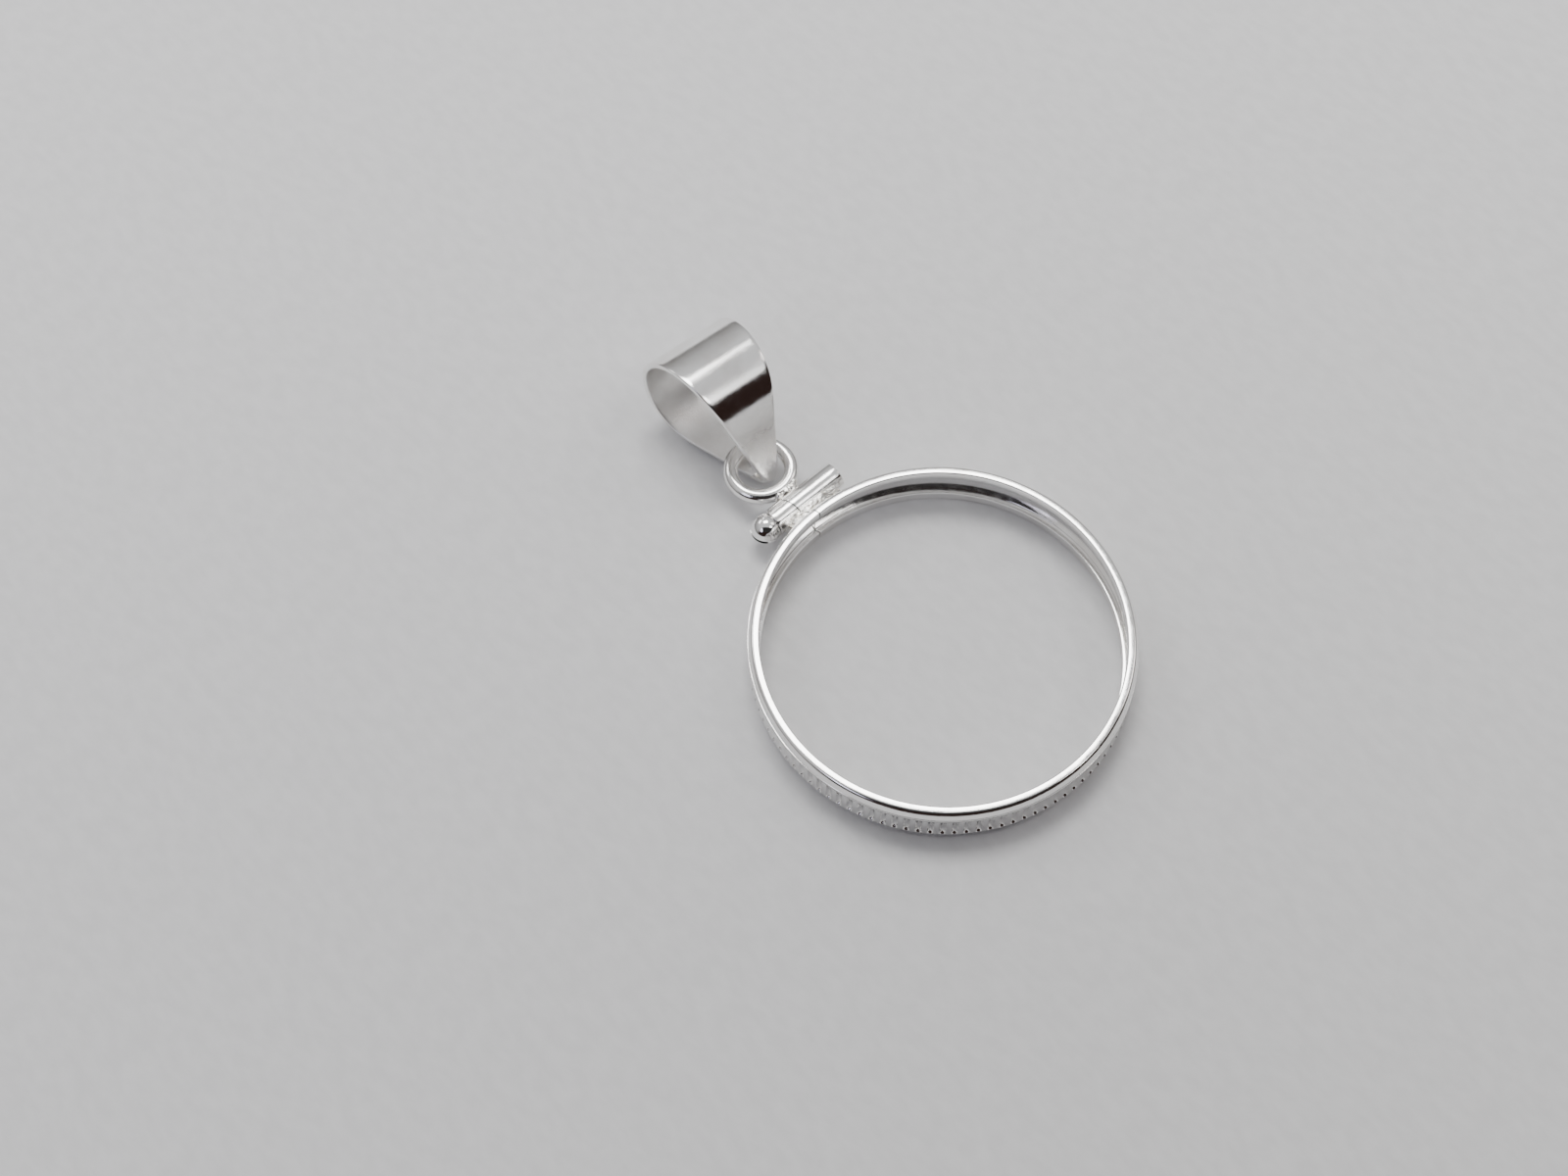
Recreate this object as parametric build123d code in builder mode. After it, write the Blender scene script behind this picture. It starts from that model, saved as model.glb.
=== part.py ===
# Screw-top coin bezel pendant, all sizes in millimetres.
# Frame: +Z is the coin's axis, z = 0 is the face it lies on, +Y points from the coin's centre to the
# closure and the bail, +X points along the closure tube, from the screw head to the threaded half.
import os
from math import asin, cos, degrees, radians, sin, sqrt, tan

from build123d import *

os.makedirs("parts", exist_ok=True)

# Coin that the bezel takes
coin_diameter = 17.9
coin_thickness = 1.35
coin_side_clearance = 0.05
coin_face_clearance = 0.05

# Band: a strip with two rims, a coin groove inside and a reeded belt outside
band_wall = 0.28
lip_thickness = 0.60
lip_reach = 0.30
rim_drop = 0.50
rim_round = 0.28
belt_relief = 0.04
lip_edge_break = 0.06
reed_count = 104
reed_depth = 0.10
reed_tool_radius = 0.14
reed_end_margin = 0.08

# Closure: a tube, cut across with one skewed saw cut, and its screw
tube_outer_radius = 0.72
tube_standoff = 0.36
tube_left_end = -1.65
tube_right_end = 2.50
tube_end_break = 0.05
cut_skew_deg = 16.0
cut_kerf = 0.06
screw_radius = 0.40
screw_tip_break = 0.08
plain_bore_clearance = 0.05
thread_bore_clearance = 0.10
screw_engagement = 1.80
head_radius = 0.78
head_centre_offset = 0.42
head_seat_gap = 0.02
slot_width = 0.20
slot_depth = 0.34

# Solder saddles between the band and the tube
saddle_foot_height = 2.00
saddle_waist_height = 0.95
saddle_left_margin = 0.30
saddle_right_margin = 0.60
saddle_bite = 0.12

# Jump ring, soldered to the threaded half
wire_radius = 0.38
ring_mean_radius = 1.53
ring_centre_x = -0.05
ring_solder_gap = 0.05
ring_solder_half_width = 0.68
ring_solder_offset = 0.20
ring_solder_height = 0.66

# Bail: a tapered strip folded to a teardrop loop, lying on the loop's back
strap_thickness = 0.30
bail_length = 8.30
bail_loop_radius = 3.00
bail_tip_round = 0.28
bail_crease_round = 0.06
bail_top_width = 4.75
bail_top_flare_deg = 6.0
bail_belly_width = 3.34
bail_belly_at = 4.10
bail_waist_width = 2.00
bail_waist_at = 2.00
bail_tip_width = 0.80
bail_tip_at = 0.30
bail_tip_trim = 0.08
bail_yaw_deg = -4.8
bail_roll_deg = -6.0
bail_side_offset = 0.22
bail_tip_height = 0.85
bail_tip_to_wire = 1.93
tip_solder_length = 0.42

# Sizes that follow from the ones above
groove_radius = coin_diameter / 2 + coin_side_clearance
groove_height = coin_thickness + coin_face_clearance
band_radius = groove_radius + band_wall
lip_radius = groove_radius - lip_reach
band_height = groove_height + 2 * lip_thickness
mid_height = band_height / 2

tube_axis_y = band_radius + tube_standoff + tube_outer_radius
cut_x_at_tube = -(tube_axis_y - lip_radius) * tan(radians(cut_skew_deg))
plain_bore_radius = screw_radius + plain_bore_clearance
thread_bore_radius = screw_radius + thread_bore_clearance
shank_length = cut_x_at_tube - tube_left_end + screw_engagement

wire_gap = tube_outer_radius + ring_solder_gap + wire_radius
ring_centre_y = tube_axis_y + wire_gap + ring_mean_radius

# The saw cut through band, saddle and tube, seen from above as a line skewed from the Y axis.
# A block on either side of it takes away the other half.
cut_normal = (cos(radians(cut_skew_deg)), sin(radians(cut_skew_deg)), 0)
cut_plane = Plane(origin=(0, lip_radius, mid_height), z_dir=cut_normal)
block_reach = 2 * (tube_right_end - tube_left_end)
block_side = 4 * (tube_axis_y + tube_outer_radius - lip_radius)
left_of_cut = cut_plane.offset(cut_kerf / 2 - block_reach / 2).location
right_of_cut = cut_plane.offset(block_reach / 2 - cut_kerf / 2).location


def cut_away(side):
    """Take away what stands on one side of the saw cut."""
    with Locations(side):
        Box(block_side, block_side, block_reach, mode=Mode.SUBTRACT)


def band_half(name, turn, reach_deg, saddle_end):
    """Half of the band, from the back of the coin round to the closure."""
    section_plane = Plane(origin=(0, 0, 0), x_dir=(0, -1, 0), z_dir=(-1, 0, 0))
    rim_radius = band_radius - belt_relief
    with BuildPart() as half:
        with BuildSketch(section_plane):
            with BuildLine():
                lower = EllipticalCenterArc(
                    (rim_radius - rim_round, rim_drop), rim_round, rim_drop, 270, arc_size=90
                )
                upper = EllipticalCenterArc(
                    (rim_radius - rim_round, band_height - rim_drop), rim_round, rim_drop, 0, arc_size=90
                )
                Polyline(
                    lower @ 1,
                    (band_radius, rim_drop),
                    (band_radius, band_height - rim_drop),
                    upper @ 0,
                )
                Polyline(
                    upper @ 1,
                    (lip_radius + lip_edge_break, band_height),
                    (lip_radius, band_height - lip_edge_break),
                    (lip_radius, band_height - lip_thickness),
                    (groove_radius, band_height - lip_thickness),
                    (groove_radius, lip_thickness),
                    (lip_radius, lip_thickness),
                    (lip_radius, lip_edge_break),
                    (lip_radius + lip_edge_break, 0),
                    lower @ 0,
                )
            make_face()
        revolve(axis=Axis((0, 0, 0), (0, 0, turn)), revolution_arc=reach_deg)

        # Reeds, from the back up to where the solder saddle starts
        reed_pitch = 360 / reed_count
        saddle_deg = degrees(asin(saddle_end / band_radius))
        reeds = int((180 - saddle_deg) / reed_pitch)
        first = -90 + turn * reed_pitch / 2
        tool_height = band_height - 2 * (rim_drop + reed_end_margin)
        tool_place = band_radius - reed_depth + reed_tool_radius
        with Locations((0, 0, mid_height)):
            with PolarLocations(tool_place, reeds, first, turn * reed_pitch * (reeds - 1), endpoint=True):
                Cylinder(reed_tool_radius, tool_height, mode=Mode.SUBTRACT)
        cut_away(left_of_cut if turn > 0 else right_of_cut)
    half.part.label = name
    return half


def tube_half(name, bore_radius, side, outer_end):
    """One length of the closure tube, with its outer end broken."""
    with BuildPart() as half:
        with BuildSketch(Plane.YZ.offset(tube_left_end)):
            with Locations((tube_axis_y, mid_height)):
                Circle(tube_outer_radius)
                Circle(bore_radius, mode=Mode.SUBTRACT)
        extrude(amount=tube_right_end - tube_left_end)
        chamfer(half.faces().sort_by(Axis.X)[outer_end].outer_wire().edges(), tube_end_break)
        cut_away(side)
    half.part.label = name
    return half


def saddle(name, start, end, band, side):
    """Solder that fills the gap between the band's end and its length of tube."""
    foot_y = band_radius - band_wall
    waist_y = tube_axis_y - tube_outer_radius * 0.6
    foot = saddle_foot_height / 2
    waist = saddle_waist_height / 2
    with BuildPart() as solder:
        with BuildSketch(Plane.YZ.offset(start)):
            with BuildLine():
                right = ThreePointArc(
                    (foot_y, mid_height + foot),
                    ((foot_y + waist_y) / 2, mid_height + waist + (foot - waist) * 0.42),
                    (waist_y, mid_height + waist),
                )
                left = ThreePointArc(
                    (foot_y, mid_height - foot),
                    ((foot_y + waist_y) / 2, mid_height - waist - (foot - waist) * 0.42),
                    (waist_y, mid_height - waist),
                )
                Line(right @ 0, left @ 0)
                Line(right @ 1, left @ 1)
            make_face()
        extrude(amount=end - start)
        with Locations((0, 0, mid_height)):
            Cylinder(band_radius - saddle_bite, 2 * band_height, mode=Mode.SUBTRACT)
        with Locations((0, tube_axis_y, mid_height)):
            Cylinder(tube_outer_radius, 2 * block_reach, rotation=(0, 90, 0), mode=Mode.SUBTRACT)
        add(band.part, mode=Mode.SUBTRACT)
        cut_away(side)
    solder.part.label = name
    return solder


# Band, tube and saddles, left and right of the cut
saddle_left_end = tube_left_end + saddle_left_margin
saddle_right_end = tube_right_end - saddle_right_margin
closure_deg = degrees(asin(-cut_x_at_tube / lip_radius)) + 1
band_right = band_half("band_right", 1, 180 + closure_deg, saddle_right_end)
band_left = band_half("band_left", -1, 180, -saddle_left_end)
closure_tube_threaded = tube_half("closure_tube_threaded", thread_bore_radius, left_of_cut, -1)
closure_tube_plain = tube_half("closure_tube_plain", plain_bore_radius, right_of_cut, 0)
solder_saddle_right = saddle("solder_saddle_right", -block_reach / 4, saddle_right_end, band_right, left_of_cut)
solder_saddle_left = saddle("solder_saddle_left", saddle_left_end, block_reach / 4, band_left, right_of_cut)

# Closure screw: ball head with a slot, plain envelope of the threaded shank
head_plane = Plane(origin=(tube_left_end, tube_axis_y, mid_height), x_dir=(0, 0, 1), z_dir=(-1, 0, 0))
with BuildPart(head_plane) as closure_screw:
    with Locations((0, 0, head_centre_offset)):
        Sphere(head_radius)
    with Locations((0, 0, head_seat_gap)):
        Box(4 * head_radius, 4 * head_radius, 4 * head_radius, align=(Align.CENTER, Align.CENTER, Align.MAX),
            mode=Mode.SUBTRACT)
    with Locations((0, 0, head_centre_offset + head_radius - slot_depth)):
        Box(slot_width, 4 * head_radius, head_radius, align=(Align.CENTER, Align.CENTER, Align.MIN),
            mode=Mode.SUBTRACT)
    with Locations((0, 0, head_centre_offset)):
        Cylinder(screw_radius, shank_length + head_centre_offset, align=(Align.CENTER, Align.CENTER, Align.MAX))
    chamfer(closure_screw.faces().sort_by(Axis.X)[-1].edges(), screw_tip_break)
closure_screw.part.label = "closure_screw"

# Jump ring: round wire, lying in the coin's plane
with BuildPart() as jump_ring:
    with Locations((ring_centre_x, ring_centre_y, mid_height)):
        Torus(ring_mean_radius, wire_radius)
jump_ring.part.label = "jump_ring"

# Solder that holds the jump ring to the threaded half, hollowed on both flanks
solder_x = ring_centre_x + ring_solder_offset
solder_foot_y = tube_axis_y + tube_outer_radius * 0.5
solder_top_y = ring_centre_y - ring_mean_radius + wire_radius * 0.5
with BuildPart() as jump_ring_solder:
    with BuildSketch(Plane.XY.offset(mid_height)):
        with BuildLine():
            right_flank = ThreePointArc(
                (solder_x + ring_solder_half_width, solder_foot_y),
                (solder_x + ring_solder_half_width * 0.80, (solder_foot_y + solder_top_y) / 2),
                (solder_x + ring_solder_half_width * 0.85, solder_top_y),
            )
            left_flank = ThreePointArc(
                (solder_x - ring_solder_half_width, solder_foot_y),
                (solder_x - ring_solder_half_width * 0.80, (solder_foot_y + solder_top_y) / 2),
                (solder_x - ring_solder_half_width * 0.85, solder_top_y),
            )
            Line(right_flank @ 0, left_flank @ 0)
            Line(right_flank @ 1, left_flank @ 1)
        make_face()
    extrude(amount=ring_solder_height / 2, both=True)
    with Locations((0, tube_axis_y, mid_height)):
        Cylinder(tube_outer_radius, 2 * block_reach, rotation=(0, 90, 0), mode=Mode.SUBTRACT)
    add(jump_ring.part, mode=Mode.SUBTRACT)
    with Locations((ring_centre_x, ring_centre_y, mid_height)):
        Cylinder(ring_mean_radius, 2 * band_height, mode=Mode.SUBTRACT)
    cut_away(left_of_cut)
jump_ring_solder.part.label = "jump_ring_solder"

# Bail frame: along runs from the tip to the loop, out is the strap's face, across is its width.
# The swing axis is level and passes through the middle of the jump ring's wire. The strap lies rolled
# a little about its own length, so only one edge of the loop, near its belly, touches the table.
yaw = radians(bail_yaw_deg)
roll = radians(bail_roll_deg)
swing_axis = Vector(cos(yaw), sin(yaw), 0)
level = Vector(-sin(yaw), cos(yaw), 0)
up = Vector(0, 0, 1)
ring_centre = Vector(ring_centre_x, ring_centre_y, mid_height)
wire_point = ring_centre + swing_axis * bail_side_offset + level * sqrt(ring_mean_radius**2 - bail_side_offset**2)
loop_distance = bail_length - bail_tip_round - bail_loop_radius
edge_drop = bail_belly_width / 2 * sin(abs(roll))
lift = asin((bail_loop_radius * cos(roll) + edge_drop - bail_tip_height) / loop_distance)
along = level * cos(lift) + up * sin(lift)
face = swing_axis.cross(along)
across = swing_axis * cos(roll) + face * sin(roll)
out = face * cos(roll) - swing_axis * sin(roll)
tip_centre = wire_point - level * bail_tip_to_wire + up * (bail_tip_height - mid_height)
tip_end = tip_centre - along * bail_tip_round
profile_plane = Plane(origin=tip_end, x_dir=along, z_dir=across).offset(-bail_top_width)
face_plane = Plane(origin=tip_end, x_dir=across, z_dir=out).offset(-2 * bail_loop_radius)

strap_slope = asin((bail_loop_radius - bail_tip_round) / loop_distance)
crease_at = bail_tip_round + (strap_thickness - bail_tip_round + bail_crease_round) / sin(strap_slope)


# Inside of the strip's loop, one strap thickness in from its outside
with BuildSketch(profile_plane) as loop_hole:
    with Locations((bail_tip_round + loop_distance, 0)):
        Circle(bail_loop_radius - strap_thickness)
    with Locations((crease_at, 0)):
        Circle(bail_crease_round)
    make_hull()

# Outline of the flattened loop, seen square on: a narrow rounded tip that widens to the top
flare = radians(bail_top_flare_deg)
with BuildSketch(face_plane) as strap_outline:
    with BuildLine():
        edge = Spline(
            (-bail_top_width / 2, bail_length),
            (-bail_belly_width / 2, bail_belly_at),
            (-bail_waist_width / 2, bail_waist_at),
            (-bail_tip_width / 2, bail_tip_at),
            (0, bail_tip_trim),
            (bail_tip_width / 2, bail_tip_at),
            (bail_waist_width / 2, bail_waist_at),
            (bail_belly_width / 2, bail_belly_at),
            (bail_top_width / 2, bail_length),
            tangents=((sin(flare), -cos(flare)), (sin(flare), cos(flare))),
        )
        Polyline(
            edge @ 0,
            (-bail_top_width / 2, bail_length + strap_thickness),
            (bail_top_width / 2, bail_length + strap_thickness),
            edge @ 1,
        )
    make_face()

with BuildPart() as bail:
    with BuildSketch(profile_plane):
        with Locations((bail_tip_round, 0)):
            Circle(bail_tip_round)
        with Locations((bail_tip_round + loop_distance, 0)):
            Circle(bail_loop_radius)
        make_hull()
    extrude(amount=2 * bail_top_width)
    extrude(loop_hole.sketch, amount=2 * bail_top_width, mode=Mode.SUBTRACT)
    extrude(strap_outline.sketch, amount=4 * bail_loop_radius, mode=Mode.INTERSECT)
bail.part.label = "bail"

# Solder in the crease where the two tips of the strip meet
solder_end = Plane(origin=tip_end + along * (crease_at + tip_solder_length), z_dir=along)
with BuildPart() as bail_tip_solder:
    extrude(loop_hole.sketch, amount=2 * bail_top_width)
    extrude(strap_outline.sketch, amount=4 * bail_loop_radius, mode=Mode.INTERSECT)
    split(bisect_by=solder_end, keep=Keep.BOTTOM)
bail_tip_solder.part.label = "bail_tip_solder"

pieces = [
    band_right, band_left, closure_tube_threaded, closure_tube_plain, solder_saddle_right,
    solder_saddle_left, closure_screw, jump_ring, jump_ring_solder, bail, bail_tip_solder,
]
for piece in pieces:
    export_step(piece.part, f"parts/{piece.part.label}.step")

print("coin window radius", round(lip_radius, 3), "band height", round(band_height, 3))
print("tube axis y", round(tube_axis_y, 3), "screw gap lever", round(tube_axis_y + band_radius, 3))
print("bail swing axis through", [round(v, 4) for v in wire_point], "along", [round(v, 5) for v in swing_axis])
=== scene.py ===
from math import asin, cos, hypot, pi, radians, sin, sqrt, tan

import bmesh
import bpy
from mathutils import Matrix, Vector, noise


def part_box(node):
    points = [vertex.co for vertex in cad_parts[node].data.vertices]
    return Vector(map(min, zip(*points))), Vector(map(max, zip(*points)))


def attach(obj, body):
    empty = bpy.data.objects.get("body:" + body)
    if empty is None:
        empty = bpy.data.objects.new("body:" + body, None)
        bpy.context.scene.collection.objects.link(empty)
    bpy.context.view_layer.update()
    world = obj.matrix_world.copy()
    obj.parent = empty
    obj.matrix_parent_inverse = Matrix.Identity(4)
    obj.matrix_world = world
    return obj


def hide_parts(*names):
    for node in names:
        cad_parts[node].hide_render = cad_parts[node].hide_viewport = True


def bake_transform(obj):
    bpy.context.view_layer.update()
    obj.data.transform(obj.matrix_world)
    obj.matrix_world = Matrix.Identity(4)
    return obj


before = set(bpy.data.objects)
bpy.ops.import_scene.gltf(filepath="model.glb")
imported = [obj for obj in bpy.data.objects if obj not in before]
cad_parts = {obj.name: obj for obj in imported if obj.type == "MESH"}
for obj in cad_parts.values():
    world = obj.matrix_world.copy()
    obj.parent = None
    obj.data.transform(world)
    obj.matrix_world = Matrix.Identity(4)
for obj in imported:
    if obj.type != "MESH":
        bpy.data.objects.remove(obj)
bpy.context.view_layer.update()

# Pieces are shaped in millimetres, in the CAD frame, and scaled to metres when they are finished.
mm = 0.001


def boxOf(node):
    low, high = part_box(node)
    return low / mm, high / mm


bandLow, bandHigh = boxOf("band_right")
tubeLow, tubeHigh = boxOf("closure_tube_threaded")
plainLow = boxOf("closure_tube_plain")[0]
screwHigh = boxOf("closure_screw")[1]
ringLow, ringHigh = boxOf("jump_ring")
saddleRightHigh = boxOf("solder_saddle_right")[1]
saddleLeftLow = boxOf("solder_saddle_left")[0]
bandRadius = -bandLow.y
bandHeight = bandHigh.z
midHeight = bandHeight / 2
tubeAxis = (tubeLow.y + tubeHigh.y) / 2
tubeRadius = (tubeHigh.y - tubeLow.y) / 2
print("frame read: band radius", round(bandRadius, 3), "height", round(bandHeight, 3))


# Node helpers, for materials and Geometry Nodes alike

def addNode(tree, kind, inputs=None, **settings):
    made = tree.nodes.new(kind)
    for key, value in settings.items():
        setattr(made, key, value)
    for key, value in (inputs or {}).items():
        if isinstance(value, bpy.types.NodeSocket):
            tree.links.new(value, made.inputs[key])
        else:
            made.inputs[key].default_value = value
    return made


def maths(tree, operation, *values):
    return addNode(tree, "ShaderNodeMath", dict(enumerate(values)), operation=operation).outputs[0]


def vectorMaths(tree, operation, *values):
    made = addNode(tree, "ShaderNodeVectorMath", dict(enumerate(values)), operation=operation)
    return made.outputs["Value"] if operation == "DOT_PRODUCT" else made.outputs[0]


def ramp(tree, value, fromLow, fromHigh, toLow, toHigh):
    made = addNode(tree, "ShaderNodeMapRange", {0: value, 1: fromLow, 2: fromHigh, 3: toLow, 4: toHigh})
    return made.outputs[0]


def newTree(name, inputs):
    tree = bpy.data.node_groups.new(name, "GeometryNodeTree")
    tree.interface.new_socket("Geometry", in_out="INPUT", socket_type="NodeSocketGeometry")
    for label, kind in inputs.items():
        tree.interface.new_socket(label, in_out="INPUT", socket_type="NodeSocket" + kind)
    tree.interface.new_socket("Geometry", in_out="OUTPUT", socket_type="NodeSocketGeometry")
    return tree, tree.nodes.new("NodeGroupInput").outputs


def endTree(tree, geometry, material):
    real = addNode(tree, "GeometryNodeRealizeInstances", {0: geometry}).outputs[0]
    painted = addNode(tree, "GeometryNodeSetMaterial", {"Geometry": real, "Material": material}).outputs[0]
    tree.links.new(painted, tree.nodes.new("NodeGroupOutput").inputs[0])
    return tree


def runTree(tree, mesh, values):
    # the tree's result as a plain mesh
    holder = bpy.data.objects.new("shaping", mesh)
    bpy.context.scene.collection.objects.link(holder)
    modifier = holder.modifiers.new("shape", "NODES")
    modifier.node_group = tree
    for label, value in values.items():
        modifier[tree.interface.items_tree[label].identifier] = value
    return plainMesh(holder)


def plainMesh(holder):
    # the holder's evaluated mesh, with the holder and its modifiers gone
    bpy.context.view_layer.update()
    graph = bpy.context.evaluated_depsgraph_get()
    mesh = bpy.data.meshes.new_from_object(holder.evaluated_get(graph))
    holder.modifiers.clear()
    bpy.data.objects.remove(holder)
    return mesh


# Mesh helpers

def arc(centre, radii, start, end, steps):
    # points of a quarter or any stretch of an ellipse, angles in degrees
    points = []
    for i in range(steps + 1):
        angle = radians(start + (end - start) * i / steps)
        points.append((centre[0] + radii[0] * cos(angle), centre[1] + radii[1] * sin(angle)))
    return points


def stitch(bm, rings, closed):
    # quads between rings of equal length, a ring of one repeated vertex being a pole
    count = len(rings[0])
    last = len(rings) if closed else len(rings) - 1
    for i in range(last):
        low, high = rings[i], rings[(i + 1) % len(rings)]
        for j in range(count):
            k = (j + 1) % count
            corners = list(dict.fromkeys((low[j], low[k], high[k], high[j])))
            if len(corners) > 2:
                bm.faces.new(corners)
    bmesh.ops.recalc_face_normals(bm, faces=bm.faces[:])


def lathe(outline, centre, axis, steps, closed=False):
    # outline holds (distance along the axis, radius) pairs, turned round the axis through centre
    axis = Vector(axis).normalized()
    side = axis.orthogonal().normalized()
    other = axis.cross(side)
    bm = bmesh.new()
    rings = []
    for along, radius in outline:
        place = Vector(centre) + axis * along
        if radius == 0:
            rings.append([bm.verts.new(place)] * steps)
            continue
        ring = []
        for i in range(steps):
            angle = 2 * pi * i / steps
            ring.append(bm.verts.new(place + (side * cos(angle) + other * sin(angle)) * radius))
        rings.append(ring)
    stitch(bm, rings, closed)
    return bm


def toMesh(bm, name):
    mesh = bpy.data.meshes.new(name)
    bm.to_mesh(mesh)
    bm.free()
    return mesh


def fromMesh(mesh):
    bm = bmesh.new()
    bm.from_mesh(mesh)
    bpy.data.meshes.remove(mesh)
    return bm


def fuse(bm, voxel, rounds):
    # shells run together into one skin, then smoothed as molten metal is
    holder = bpy.data.objects.new("fusing", toMesh(bm, "fusing"))
    bpy.context.scene.collection.objects.link(holder)
    remesh = holder.modifiers.new("voxels", "REMESH")
    remesh.mode = "VOXEL"
    remesh.voxel_size = voxel
    smoothing = holder.modifiers.new("smooth", "SMOOTH")
    smoothing.iterations = rounds
    return fromMesh(plainMesh(holder))


def ripple(bm, height, size, seed):
    # gentle unevenness along the normals
    bm.normal_update()
    moves = []
    for vert in bm.verts:
        spot = vert.co / size + Vector((seed, seed * 2, seed * 3))
        moves.append(vert.normal * noise.noise(spot) * height)
    for vert, move in zip(bm.verts, moves):
        vert.co += move


def sawCut(bm, side):
    # keep one side of the skewed saw cut, +1 for the threaded half, and close the cut face
    normal = Vector((cos(radians(closure["cutSkew"])), sin(radians(closure["cutSkew"])), 0)) * side
    point = Vector((0, closure["cutFoot"], midHeight)) + normal * closure["cutKerf"] / 2
    near = [vert for vert in bm.verts if vert.co.y > 0]
    edges = [edge for edge in bm.edges if edge.verts[0].co.y > 0 and edge.verts[1].co.y > 0]
    faces = [face for face in bm.faces if min(vert.co.y for vert in face.verts) > 0]
    bmesh.ops.bisect_plane(bm, geom=near + edges + faces, plane_co=point, plane_no=normal, clear_inner=True)
    rim = [edge for edge in bm.edges if edge.is_boundary]
    bmesh.ops.triangle_fill(bm, edges=rim, use_beauty=True, normal=-normal)
    bmesh.ops.recalc_face_normals(bm, faces=bm.faces[:])


def finishPiece(name, bm, material, body, nodes=(), sharp=32):
    # smooth the faces, keep the real edges sharp, and give the piece to its body
    for face in bm.faces:
        face.smooth = True
    for edge in bm.edges:
        edge.smooth = len(edge.link_faces) == 2 and edge.calc_face_angle(0) < radians(sharp)
    mesh = toMesh(bm, name)
    mesh.transform(Matrix.Scale(mm, 4))
    mesh.materials.clear()
    mesh.materials.append(material)
    piece = bpy.data.objects.new(name, mesh)
    bpy.context.scene.collection.objects.link(piece)
    if body:
        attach(piece, body)
    if nodes:
        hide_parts(*nodes)
    print("made", name, len(mesh.polygons), "faces")
    return piece


# Materials

def silverBase(name, tone, roughness):
    material = bpy.data.materials.new(name)
    material.use_nodes = True
    tree = material.node_tree
    shader = tree.nodes["Principled BSDF"]
    shader.inputs["Metallic"].default_value = 1
    shader.inputs["Base Color"].default_value = (*tone, 1)
    shader.inputs["Roughness"].default_value = roughness
    place = addNode(tree, "ShaderNodeTexCoord").outputs["Object"]
    return material, tree, shader, place


def grain(tree, place, size, detail=2.0, stretch=(1, 1, 1)):
    # noise whose features measure about size in millimetres
    scaled = vectorMaths(tree, "MULTIPLY", place, tuple(part / (size * mm) for part in stretch))
    return addNode(tree, "ShaderNodeTexNoise", {"Vector": scaled, "Scale": 1.0, "Detail": detail}).outputs[0]


def wornTone(tree, shader, place, tone, dark, size):
    # faint clouds of tarnish in the silver
    mask = ramp(tree, grain(tree, place, size, 4.0), 0.42, 0.68, 0, 1)
    mixed = addNode(tree, "ShaderNodeMix", {0: mask, 6: (*tone, 1), 7: (*dark, 1)}, data_type="RGBA")
    tree.links.new(mixed.outputs[2], shader.inputs["Base Color"])


def bumps(tree, shader, layers):
    # layers holds (height socket, depth in millimetres), stacked one on the other
    normal = None
    for height, depth in layers:
        bump = addNode(tree, "ShaderNodeBump", {"Height": height, "Distance": depth * mm, "Strength": 1.0})
        if normal:
            tree.links.new(normal, bump.inputs["Normal"])
        normal = bump.outputs[0]
    tree.links.new(normal, shader.inputs["Normal"])


finish = {
    "silver": (0.93, 0.925, 0.915),
    "tarnish": (0.84, 0.82, 0.80),
    "bandRoughness": (0.07, 0.20),
    "bandRings": 0.0012,
    "bandGrain": 0.0010,
    "tubeRoughness": (0.08, 0.22),
    "tubeStreaks": 0.0016,
    "tubeGrain": 0.0032,
    "solderRoughness": (0.16, 0.34),
    "solderPits": 0.010,
    "wireRoughness": (0.09, 0.20),
    "wireGrain": 0.0012,
    "screwRoughness": (0.05, 0.12),
    "bailRoughness": (0.07, 0.34),
    "bailGrain": 0.0034,
    "bailSatin": 0.0180,
}


def bandSilver():
    material, tree, shader, place = silverBase("polishedBand", finish["silver"], 0.1)
    wornTone(tree, shader, place, finish["silver"], finish["tarnish"], 3.0)
    parts = addNode(tree, "ShaderNodeSeparateXYZ", {0: place}).outputs
    radius = maths(tree, "SQRT", maths(tree, "ADD", maths(tree, "MULTIPLY", parts[0], parts[0]),
                                       maths(tree, "MULTIPLY", parts[1], parts[1])))
    turn = maths(tree, "ARCTAN2", parts[1], parts[0])
    ringPlace = addNode(tree, "ShaderNodeCombineXYZ", {
        0: maths(tree, "MULTIPLY", radius, 1 / (0.035 * mm)),
        1: maths(tree, "MULTIPLY", parts[2], 1 / (0.035 * mm)),
        2: maths(tree, "MULTIPLY", turn, 9.0),
    }).outputs[0]
    rings = addNode(tree, "ShaderNodeTexNoise", {"Vector": ringPlace, "Scale": 1.0, "Detail": 3.0}).outputs[0]
    low, high = finish["bandRoughness"]
    tree.links.new(ramp(tree, grain(tree, place, 0.5, 5.0), 0.35, 0.7, low, high), shader.inputs["Roughness"])
    fine = grain(tree, place, 0.05, 3.0)
    bumps(tree, shader, [(rings, finish["bandRings"]), (fine, finish["bandGrain"])])
    return material


def tubeSilver():
    # drawn tube: streaks run along X
    material, tree, shader, place = silverBase("drawnTube", finish["silver"], 0.1)
    wornTone(tree, shader, place, finish["silver"], finish["tarnish"], 1.2)
    low, high = finish["tubeRoughness"]
    tree.links.new(ramp(tree, grain(tree, place, 0.2, 5.0), 0.35, 0.7, low, high), shader.inputs["Roughness"])
    streaks = grain(tree, place, 0.03, 3.0, (0.06, 1, 1))
    bumps(tree, shader, [(streaks, finish["tubeStreaks"]), (grain(tree, place, 0.06, 3.0), finish["tubeGrain"])])
    return material


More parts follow.
